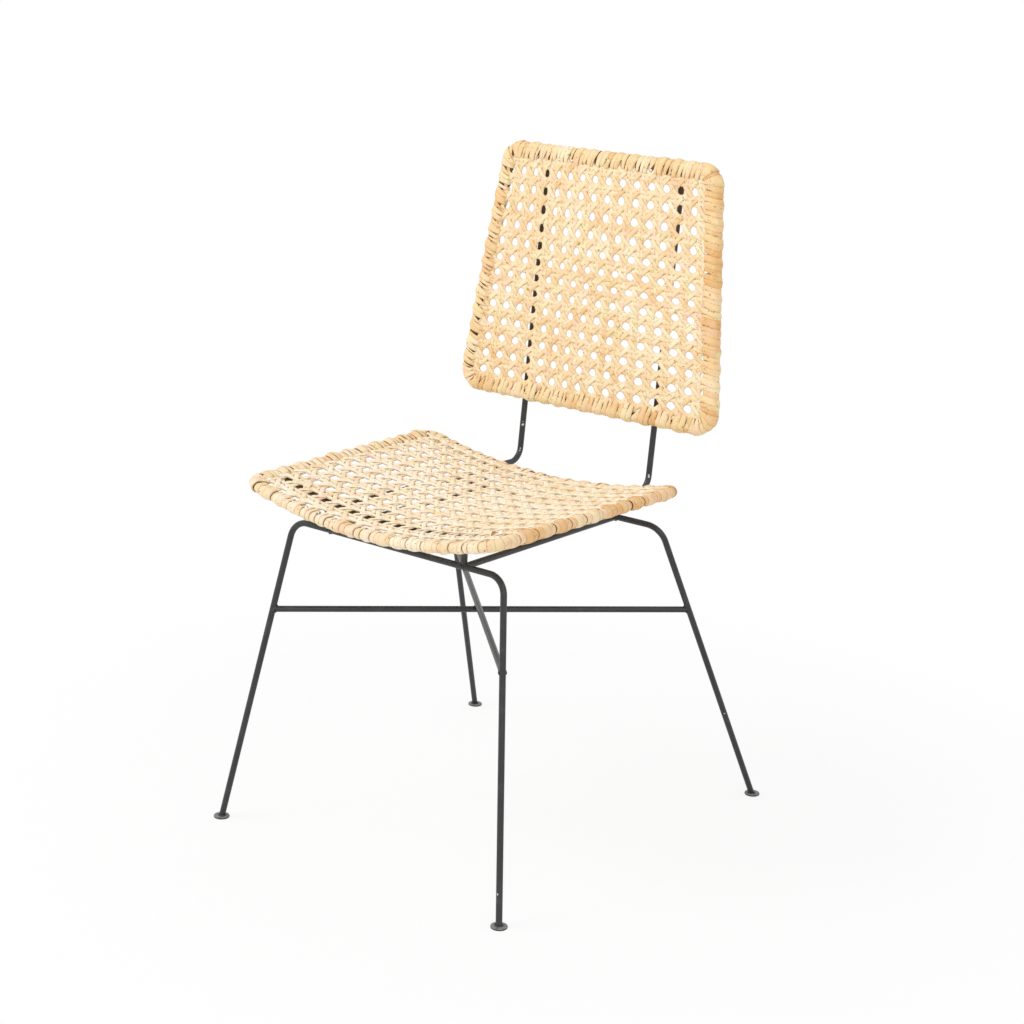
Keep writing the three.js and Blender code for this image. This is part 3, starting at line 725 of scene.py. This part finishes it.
class Panel:
    """A woven panel: its flat plan, a trapezoid with rounded corners, and how it is set in space.

    lattice(a, b) gives the hole where column a and row b meet.
    """

    def __init__(
        self, place, lattice, columns, rows, level, weaving, depth, near_half, far_half, corner, fuller=0.0
    ):
        self.place = place
        self.lattice = lattice
        self.columns = columns
        self.rows = rows
        self.level = level
        self.weaving = weaving
        self.depth = depth
        self.near_half = near_half
        self.far_half = far_half
        self.corner = corner
        self.fuller = fuller
        plan = [(-near_half, 0.0), (near_half, 0.0), (far_half, depth), (-far_half, depth)]
        self.sides = []
        for index, first in enumerate(plan):
            second = plan[(index + 1) % 4]
            way = Vector((second[0] - first[0], second[1] - first[1])).normalized()
            out = Vector((way.y, -way.x))
            self.sides.append((out, out.dot(Vector(first))))
        self.inner = []
        for index in range(4):
            out_a, reach_a = self.sides[index - 1]
            out_b, reach_b = self.sides[index]
            reach_a -= corner
            reach_b -= corner
            base = out_a.x * out_b.y - out_a.y * out_b.x
            x = (reach_a * out_b.y - reach_b * out_a.y) / base
            y = (out_a.x * reach_b - out_b.x * reach_a) / base
            self.inner.append(Vector((x, y)))

    def outside(self, x, y):
        """How far a point of the plan lies outside the middle line of the edge pole."""
        point = Vector((x, y))
        depths = [out.dot(point) - reach + self.corner for out, reach in self.sides]
        if max(depths) <= 0.0:
            return max(depths) - self.corner
        nearest = []
        for index in range(4):
            start = self.inner[index]
            way = self.inner[(index + 1) % 4] - start
            share = clamped((point - start).dot(way) / way.dot(way))
            nearest.append((point - start - way * share).length)
        return min(nearest) - self.corner

    def rim(self, step):
        """Points of the plan along the middle of the edge pole, from the near left corner to the right."""
        points = []
        for index in range(4):
            out_a = self.sides[index - 1][0]
            out_b = self.sides[index][0]
            centre = self.inner[index]
            turn = out_a.angle(out_b)
            count = max(int(self.corner * turn / step), 4)
            start = math.atan2(out_a.y, out_a.x)
            for part in range(count + 1):
                angle = start + turn * part / count
                out = Vector((math.cos(angle), math.sin(angle)))
                points.append(centre + out * self.corner)
            begin = centre + out_b * self.corner
            end = self.inner[(index + 1) % 4] + out_b * self.corner
            count = int((end - begin).length / step)
            for part in range(1, count):
                points.append(begin.lerp(end, part / count))
        return points


# The stations of a strand in one pitch of the holes, and which way a strand of a pair bends there.
PAIR_STATIONS = ((-0.30, 0.0), (-0.158, -1.0), (0.0, 0.0), (0.158, 1.0), (0.30, 0.0), (0.5, 0.0))
SLANT_STATIONS = (0.0, 0.12, 0.20, 0.25, 0.30, 0.38)
PAIR_INSET = 0.002
PAIR_DRIFT = 0.00025
SLANT_INSET = 0.0062
SLANT_DRIFT = 0.00030
SLANT_STEEPNESS = 2.2
weave_luck = random.Random(23)


def eased(share):
    share = clamped(share)
    return share * share * (3.0 - 2.0 * share)


def bowed(value, low, high):
    """A soft hump that is 1 in the middle between two places, and 0 outside them."""
    return math.sin(math.pi * (value - low) / (high - low)) ** 2 if low < value < high else 0.0


def wandering(reach):
    """A slow, even drift to and fro that differs from strand to strand."""
    waves = []
    for _ in range(3):
        size = weave_luck.uniform(-reach, reach)
        rate = weave_luck.uniform(9.0, 30.0)
        waves.append((size, rate, weave_luck.uniform(0.0, math.tau)))
    return lambda where: sum(size * math.sin(rate * where + start) for size, rate, start in waves)


def trimmed(panel, stations, inset):
    """Keeps the stretch of a strand inside the panel. A station is (x, y, height)."""
    kept = []
    before = None
    for station in stations:
        depth = panel.outside(station[0], station[1]) + inset
        if before is not None and (depth > 0.0) != (before[1] > 0.0):
            share = before[1] / (before[1] - depth)
            kept.append(tuple(a + (b - a) * share for a, b in zip(before[0], station)))
        if depth <= 0.0:
            kept.append(station)
        before = (station, depth)
    return kept


def laid(panel, stations, inset, width):
    """A strand over the panel, from its stations in the plan.

    On a fuller panel the strands are wider on the right and along the front, and narrower over the bow.
    """
    stations = trimmed(panel, stations, inset)
    if len(stations) < 4:
        return []
    width *= weave_luck.uniform(0.95, 1.05)
    tone = clamped(weave_luck.gauss(0.52, 0.20))
    points, faces, tones, swells = [], [], [], []
    for x, y, height in stations:
        right = eased((x + 0.04) / 0.11) * (1.45 * eased((y - 0.052) / 0.045) - 0.45)
        left = 1.0 - eased((x + 0.14) / 0.16)
        front = 1.0 - eased((y - 0.014) / 0.018)
        tones.append(clamped(tone + panel.fuller * (0.36 * left - 0.25 * right)))
        swells.append(width * (1.0 + panel.fuller * (right + 0.6 * front)))
        fade = clamped((-panel.outside(x, y) - 0.004) / 0.010)
        point, facing = panel.place(x, y, panel.level + height * fade)
        points.append(point)
        faces.append(facing)
    return [Run(points, faces, tones, swells)]


def pairs_of_strands(panel, upright_gap, level_gap, upright_width, level_width):
    """The pairs that run up and across."""
    lattice = panel.lattice
    runs = []
    for upright, lines, holes in ((True, panel.columns, panel.rows), (False, panel.rows, panel.columns)):
        for line in range(*lines):
            for side in (-1, 1):
                drift = wandering(PAIR_DRIFT)
                stations = []
                for hole in range(*holes):
                    for step, bend in PAIR_STATIONS:
                        height = 0.6 * panel.weaving * side * bend
                        along = hole + 0.5 + step
                        if upright:
                            x, y = lattice(line + 0.5, along)
                            stations.append((x + side * upright_gap + drift(y), y, height))
                        else:
                            x, y = lattice(along, line + 0.5)
                            pitch = abs(lattice(along, line + 1)[1] - lattice(along, line)[1])
                            stations.append((x, y + side * level_gap * pitch + drift(x), -height))
                runs += laid(panel, stations, PAIR_INSET, upright_width if upright else level_width)
    return runs


def slanting_strands(panel):
    """The slanting strands: one way over the upright pairs and under the level ones, the other reversed."""
    columns, rows = panel.columns, panel.rows
    runs = []
    for way in (1, -1):
        low, high = sorted((way * rows[0], way * rows[1]))
        for shift in range(columns[0] - high - 1, columns[1] - low + 1):
            drift = wandering(SLANT_DRIFT)
            stations = []
            for half in range(2 * (columns[1] - columns[0])):
                for part in SLANT_STATIONS:
                    a = columns[0] + half / 2 + part
                    b = way * (a - shift - 0.5)
                    if not rows[0] - 0.5 <= b <= rows[1] + 0.5:
                        continue
                    x, y = panel.lattice(a, b)
                    lift = math.tanh(-SLANT_STEEPNESS * math.cos(math.tau * a)) / math.tanh(SLANT_STEEPNESS)
                    stations.append((x + drift(y), y, way * panel.weaving * lift))
            runs += laid(panel, stations, SLANT_INSET, 1.0)
    return runs


def seat_lattice(a, b):
    """The weaver's columns bow to the left on their way to the back, and the rows grow narrower."""
    near_front = max(0.0, 1.0 - abs(b - 1) / 6)
    y = 0.0100 + 0.0338 * b - 0.00036 * b * b + 0.003 * eased((a - 4) / 10) * near_front
    x = -0.1705 + 0.02298 * a - 0.003 * math.sin(math.tau * a / 15)
    return x - 0.0145 * eased((y - 0.045) / 0.160) * bowed(a, 1, 16), y


def bend_pole(node, panel, width, thickness):
    spots = [panel.place(point.x, point.y) for point in panel.rim(0.006)]
    ring = Run([spot for spot, _ in spots], [facing for _, facing in spots], closed=True)
    lay_strands(node + "_bent", [ring], shaded_pole_material, "rattan_pole", [node], width, thickness, 16)


shaded_pole_material = shaded_pole_finish()
# The seat's split cane is the same cane as the back's, painted paler and creamier as painted light on the
# seat, which lies open to the light from above.
seat_cane = split_cane(
    "split cane of the seat", (0.87, 0.62, 0.34), (0.965, 0.84, 0.62), (0.985, 0.925, 0.78), 0.50)
seat = Panel(
    seat_place, seat_lattice, columns=(-2, 18), rows=(-1, 13), level=0.0050, weaving=0.0015,
    depth=SEAT_DEPTH, near_half=SEAT_FRONT_HALF, far_half=SEAT_REAR_HALF, corner=0.022, fuller=0.34)
bend_pole("seat_edge_pole", seat, 0.0118, 0.0104)
seat_pairs = pairs_of_strands(seat, upright_gap=0.0031, level_gap=0.155, upright_width=0.98, level_width=1.27)
seat_slants = slanting_strands(seat)
lay_strands("seat_cane_pairs", seat_pairs, seat_cane, "cane_weave", ["seat_cane_weave"], 0.0057, 0.0022)
lay_strands("seat_cane_slants", seat_slants, seat_cane, "cane_weave", ["seat_cane_weave"], 0.0061, 0.0019)


# Flat rattan peel is wound round the seat's pole and over the ends of the cane in
# one long coil: two raised turns over each strand pair and a low one at each hole,
# which draws together inside and leaves a wedge of the dark-painted pole open.
# The low turns are painted darker, as painted shade.

PEEL_WIDTH = 0.0085
PEEL_CUTS = (0.17, 0.50, 0.83)
SEAT_FRONT_ROW = -0.296
SEAT_REAR_ROW = 11.82


class Rim:
    """The middle line of an edge pole in space. A place on it is a length from the near left corner."""

    def __init__(self, panel):
        self.plan = panel.rim(0.003)
        self.count = len(self.plan)
        self.centres, self.facings = zip(*(panel.place(point.x, point.y, 0.0) for point in self.plan))
        self.reach = [0.0]
        for index, centre in enumerate(self.centres):
            after = self.centres[(index + 1) % self.count]
            self.reach.append(self.reach[-1] + (after - centre).length)
        self.total = self.reach[-1]

    def at(self, where):
        """The middle of the pole at a place, the way ahead, the way the panel faces and the way out."""
        where %= self.total
        low = min(bisect.bisect_right(self.reach, where), self.count) - 1
        share = (where - self.reach[low]) / (self.reach[low + 1] - self.reach[low])
        after = (low + 1) % self.count
        centre = self.centres[low].lerp(self.centres[after], share)
        ahead = (self.centres[(low + 2) % self.count] - self.centres[low - 1]).normalized()
        facing = self.facings[low].lerp(self.facings[after], share)
        facing = (facing - ahead * facing.dot(ahead)).normalized()
        return centre, ahead, facing, ahead.cross(facing)

    def beside(self, where, outward, upward, grown):
        centre, _, facing, out = self.at(where)
        return centre + out * outward * grown + facing * upward * grown

    def nearest(self, x, y):
        """The place that is nearest to a point of the plan."""
        gaps = [(point.x - x) ** 2 + (point.y - y) ** 2 for point in self.plan]
        index = gaps.index(min(gaps))
        ahead = (self.plan[(index + 1) % self.count] - self.plan[index]).normalized()
        return self.reach[index] + (Vector((x, y)) - self.plan[index]).dot(ahead)


def hole_places(panel, rim, near, far, rows):
    """Where the holes meet the rim, by their x on the near and far side and their y on the others.

    Round the corners, places in the same pitch fill in.
    """
    straights = []
    for index in range(4):
        out = panel.sides[index][0] * panel.corner
        begin = rim.nearest(*(panel.inner[index] + out))
        end = rim.nearest(*(panel.inner[(index + 1) % 4] + out))
        straights.append((begin, end if end > begin else end + rim.total))
    holes = [rim.nearest(x, 0.0) for x in near] + [rim.nearest(x, panel.depth) for x in far]
    for y in rows:
        half = panel.near_half + (panel.far_half - panel.near_half) * y / panel.depth
        holes += [rim.nearest(half, y), rim.nearest(-half, y)]
    holes = sorted(where for where in holes if any(begin < where < end for begin, end in straights))
    pitch = rim.total / len(holes)
    filled = []
    for where, after in zip(holes, holes[1:] + [holes[0] + rim.total]):
        parts = max(round((after - where) / pitch), 1)
        filled += [where + (after - where) * part / parts for part in range(parts)]
    return filled + [filled[0] + rim.total]


def turns_of_peel(rim, places, reach_in, slant, uneven, tint, parted, luck):
    """The turns of the coil, three from each place to the next: two raised ones and a low one."""
    cuts = []
    for begin, end in zip(places, places[1:]):
        cuts.append([begin + (end - begin) * share + luck.uniform(-uneven, uneven) for share in PEEL_CUTS])
    cuts.append([cut + rim.total for cut in cuts[0]])
    turns = []
    for (first, second, third), after in zip(cuts, cuts[1:]):
        ahead = rim.at(first)[1]
        share, crease, lift, hump = parted(ahead)
        bend = ahead.angle(rim.at(after[0])[1])
        crease = max(crease - 0.002 * bend, 0.0001)
        hump = max(hump - bend / 3, 0.0)
        shade = luck.gauss(*tint(ahead))
        height = lift * luck.uniform(0.3, 1.3)
        for low, high, roll in ((first, second, -hump), (second, third, hump), (third, after[0], None)):
            raised = roll is not None
            slide = slant * luck.uniform(0.6, 1.4)
            room = high - low
            if raised:
                drawn = room * share
                inner = (low + drawn * luck.uniform(0.0, 0.2), high - drawn * luck.uniform(0.0, 0.3))
                outer = (low - 0.0006, high + 0.0006)
                rise = height * luck.uniform(0.6, 1.1)
            else:
                kept = room * max(1.0 - share * luck.uniform(0.4, 1.5), 0.12) / 2
                middle = (low + high) / 2 + (room / 2 - kept) * luck.uniform(-0.7, 0.7)
                inner = (middle - kept, middle + kept)
                outer = (low + luck.uniform(-0.0004, crease), high - luck.uniform(-0.0006, crease * 0.6))
                rise = luck.uniform(-0.0003, 0.0001)
            turns.append({
                "outer": outer,
                "inner": (inner[0] + slide, inner[1] + slide),
                "rise": rise,
                "roll": (roll or 0.0) * luck.uniform(0.7, 1.2),
                "reach": reach_in * luck.uniform(0.84, 1.20),
                # A low turn is painted darker, as painted shade between the raised turns.
                "tone": clamped(shade + luck.uniform(-0.10, 0.10) - (0.0 if raised else 0.14)),
            })
    start = turns[0]
    turns.append({"outer": tuple(edge + rim.total for edge in start["outer"]), "rise": start["rise"]})
    return turns


def way_round(radius, flat, inmost, early):
    """A turn's way over the pole and back under, in steps: how far out, how far up, how drawn together."""
    steps = []
    for degrees in range(-75, 91, 15):
        drawn = {75: early * 0.6, 90: 0.25 + early * 0.75}.get(degrees, 0.0)
        angle = math.radians(degrees)
        steps.append((radius * math.cos(angle), radius * math.sin(angle), drawn))
    for inward, upward, drawn in (
        (0.28, 1.02, 0.5 + early * 0.6), (0.55, 1.01, 0.85), (0.80, 0.97, 1.0),
        (0.95, 0.85, 1.0), (1.0, 0.62, 1.0), (0.93, 0.35, 1.0),
    ):
        steps.append((-inmost * inward, radius * upward, drawn))
    for inward, downward in ((0.97, 0.10), (0.80, 0.60), (0.45, 0.90), (0.10, 1.0)):
        steps.append((-inward * radius, -downward * radius, 1.0))
    return [(outward, upward * flat, drawn) for outward, upward, drawn in steps]


def bound(panel, holes, radius, flat, reach_in, early, slant, lean, uneven, tint, parted, luck):
    """The path of the peel round the edge pole, one long coil whose turns pass on to the next below."""
    rim = Rim(panel)
    turns = turns_of_peel(rim, hole_places(panel, rim, *holes), reach_in, slant, uneven, tint, parted, luck)
    points, faces, tones, swells = [], [], [], []
    for turn, after in zip(turns, turns[1:]):
        steps = way_round(radius, flat, turn["reach"], early)
        last = len(steps) - 1
        for index, (outward, upward, drawn) in enumerate(steps):
            passed = eased((index - last + 4) / 5)
            edges = []
            for outer, inner, outer_after in zip(turn["outer"], turn["inner"], after["outer"]):
                place = outer * (1 - drawn) + inner * drawn
                edges.append(place * (1 - passed) + outer_after * passed)
            rise = turn["rise"] * (1 - passed) + after["rise"] * passed
            grown = 1.0 + rise / math.hypot(outward, upward)
            left, right = (rim.beside(place, outward, upward, grown) for place in edges)
            middle = (edges[0] + edges[1]) / 2
            _, ahead, facing, out = rim.at(middle)
            leaning = lean * math.cos(math.atan2(upward, outward)) * (1 - passed)
            points.append(rim.beside(middle, outward, upward, grown) + ahead * leaning)
            out_before, up_before, _ = steps[max(index - 1, 0)]
            out_after, up_after, _ = steps[min(index + 1, last)]
            face = (out * (up_after - up_before) - facing * (out_after - out_before)).normalized()
            faces.append((face + ahead * turn["roll"] * (1 - passed)).normalized())
            tones.append(turn["tone"])
            swells.append((right - left).length / PEEL_WIDTH)
    return [Run(points, faces, tones, swells, True)]


def seat_tint(ahead):
    """The middle and the spread of the turns' tone. Darker and more uneven along the right side, partly amber
    patches of the peel and partly painted shade on the side turned from the light; a little paler along the
    front.
    """
    right = max(ahead.y, 0.0)
    return 0.48 - 0.38 * right + 0.14 * max(ahead.x, 0.0), 0.14 + 0.14 * right


def seat_parted(ahead):
    """The share of a low turn left open inside, the widest crease outside, the others' rise and roll."""
    front, right, rear, left = (max(way, 0.0) for way in (ahead.x, ahead.y, -ahead.x, -ahead.y))
    inside = 0.45 + 0.08 * front - 0.20 * left + 0.28 * right + 0.35 * rear
    outside = 0.0004 + 0.0022 * front + 0.0018 * right + 0.0030 * left + 0.0036 * rear
    return inside, outside, 0.0004 + 0.0012 * left + 0.0008 * rear, 0.24


seat_peel = split_cane(
    "rattan peel round the seat", (0.80, 0.46, 0.19), (0.935, 0.73, 0.465), (0.975, 0.87, 0.69), 0.42)
seat_holes = (
    [seat_lattice(a, SEAT_FRONT_ROW)[0] for a in range(-1, 17)],
    [seat_lattice(a, SEAT_REAR_ROW)[0] for a in range(-1, 19)],
    [seat_lattice(0, b)[1] for b in range(12)],
)
seat_coil = bound(
    seat, seat_holes, radius=0.0069, flat=0.90, reach_in=0.0098, early=0.6, slant=0.0012, lean=0.0,
    uneven=0.0019, tint=seat_tint, parted=seat_parted, luck=random.Random(31))
lay_strands("seat_edge_peel", seat_coil, seat_peel, "rattan_peel", ["seat_edge_wrapping"], PEEL_WIDTH, 0.0016)


# The back is flat and leans back, and is narrower at its top. It is made in the
# same way as the seat, on a stouter pole.

BACK_FRONT = Vector((0.0, -math.cos(BACK_LEAN), math.sin(BACK_LEAN)))
BACK_HEIGHT = 0.325
BACK_RAISED = 0.096
BACK_AHEAD = 0.013596
BACK_FOOT = Vector((0.0, UPRIGHT_Y, side_rod_height(UPRIGHT_Y)))
BACK_ORIGIN = BACK_FOOT + BACK_UP * BACK_RAISED + BACK_FRONT * BACK_AHEAD
BACK_LOW_ROW = 12.98
BACK_TOP_ROW = -1.27


def back_place(x, up, height=0.0):
    """A point before the back and the way the back faces."""
    return BACK_ORIGIN + along_x * x + BACK_UP * up + BACK_FRONT * height, BACK_FRONT


def back_lattice(a, b):
    """The weaver's columns spread towards the seat and lean a little to the left in the middle."""
    y = 0.296 - 0.0228 * b - 0.0052 * bowed(b, 0, 8)
    share = (y - 0.022) / (0.296 - 0.022)
    low = -0.1681 + 0.02384 * a - 0.0105 * bowed(a, 3, 15)
    high = -0.153 + 0.0208 * a - 0.009 * bowed(a, 0, 14)
    return low + (high - low) * share, y


def back_tint(ahead):
    # The peel is painted darker along the back's right edge, as painted shade on the side turned from the
    # light, and a little darker along the top.
    return 0.60 - 0.30 * max(ahead.dot(BACK_UP), 0.0) - 0.03 * max(-ahead.x, 0.0), 0.17


def back_parted(ahead):
    up = ahead.dot(BACK_UP)
    right, left, top, bottom = (max(way, 0.0) for way in (up, -up, -ahead.x, ahead.x))
    inside = 0.50 + 0.20 * left - 0.36 * right + 0.18 * top
    outside = 0.0001 + 0.0028 * left + 0.0020 * top + 0.0010 * bottom
    return inside, outside, 0.0011 - 0.0006 * right, 0.22


back_cane = split_cane(
    "split cane of the back", (0.85, 0.55, 0.26), (0.945, 0.74, 0.455), (0.97, 0.865, 0.64), 0.34)
back_peel = split_cane(
    "rattan peel round the back", (0.78, 0.44, 0.16), (0.925, 0.68, 0.37), (0.965, 0.82, 0.56), 0.10)
back = Panel(
    back_place, back_lattice, columns=(-2, 17), rows=(-2, 14), level=0.00607, weaving=0.0009,
    depth=BACK_HEIGHT, near_half=0.201, far_half=0.1625, corner=0.023)
bend_pole("back_edge_pole", back, 0.0144, 0.0140)
back_pairs = pairs_of_strands(back, upright_gap=0.0033, level_gap=0.150, upright_width=0.95, level_width=1.0)
back_slants = slanting_strands(back)
lay_strands("back_cane_pairs", back_pairs, back_cane, "cane_weave", ["back_cane_weave"], 0.0059, 0.0011)
lay_strands("back_cane_slants", back_slants, back_cane, "cane_weave", ["back_cane_weave"], 0.0061, 0.0010)
back_holes = (
    [back_lattice(a, BACK_LOW_ROW)[0] for a in range(-2, 17)],
    [back_lattice(a, BACK_TOP_ROW)[0] for a in range(-2, 17)],
    [back_lattice(0, b)[1] for b in range(-1, 14)],
)
back_coil = bound(
    back, back_holes, radius=0.0083, flat=0.97, reach_in=0.0125, early=0.08, slant=0.0022, lean=-0.0015,
    uneven=0.0018, tint=back_tint, parted=back_parted, luck=random.Random(37))
lay_strands("back_edge_peel", back_coil, back_peel, "rattan_peel", ["back_edge_wrapping"], PEEL_WIDTH, 0.0015)


# Bands of the same peel tie the seat to the side rods and to the bow, and the
# back to its uprights. Each goes three times round.

TIE_TURNS = 3
TIE_STEPS = 20
TIE_PITCH = 0.0030
TIE_WIDTH = 0.0034
TIE_THICKNESS = 0.0012
TIE_CLEAR = 0.0008
TIE_LENGTH = 0.006
BOW_TIE_LENGTH = 0.0052
BOW_TIE_X = 0.1441
tie_luck = random.Random(43)


def tie(node, finish, centre, across, along, out, length=TIE_LENGTH):
    """A coil with straight sides: round a rod at its centre and towards out for a length."""
    points, faces = [], []
    for step in range(TIE_TURNS * TIE_STEPS + 1):
        turn = math.tau * step / TIE_STEPS
        spoke = across * math.cos(turn) - out * math.sin(turn)
        shift = along * ((step / TIE_STEPS - TIE_TURNS / 2) * TIE_PITCH)
        point = centre + spoke * (ROD_RADIUS + TIE_CLEAR) + shift
        if math.sin(turn) < 0.0:
            point += out * length
        points.append(point)
        faces.append(spoke)
    band = Run(points, faces, tie_luck.uniform(0.6, 0.9))
    lay_strands(node + "_peel", [band], finish, "rattan_peel", [node], TIE_WIDTH, TIE_THICKNESS)


seat_rear = SEAT_ORIGIN.y + SEAT_DEPTH
for side, sign in SIDES:
    x = sign * RAIL_X
    for part, up in (("lower_", 0.0), ("upper_", BACK_HEIGHT)):
        leant = x - UPRIGHT_LEAN * (up + BACK_RAISED) / UPRIGHT_RISE
        upright = back_place(leant, up, -BACK_AHEAD)[0]
        tie("back_tie_" + part + side, back_peel, upright, along_x, BACK_UP, BACK_FRONT)
    side_rod = Vector((x, seat_rear, side_rod_height(seat_rear)))
    tie("seat_tie_rear_" + side, seat_peel, side_rod, along_x, along_y, along_z)
    bow, facing = seat_place(sign * BOW_TIE_X, BOW_DEPTH, BOW_LEVEL)
    outer, inner = (seat_place(sign * (BOW_TIE_X + step), BOW_DEPTH)[0] for step in (0.01, -0.01))
    along = (outer - inner).normalized()
    tie("seat_tie_front_" + side, seat_peel, bow, along_y, along, facing, BOW_TIE_LENGTH)
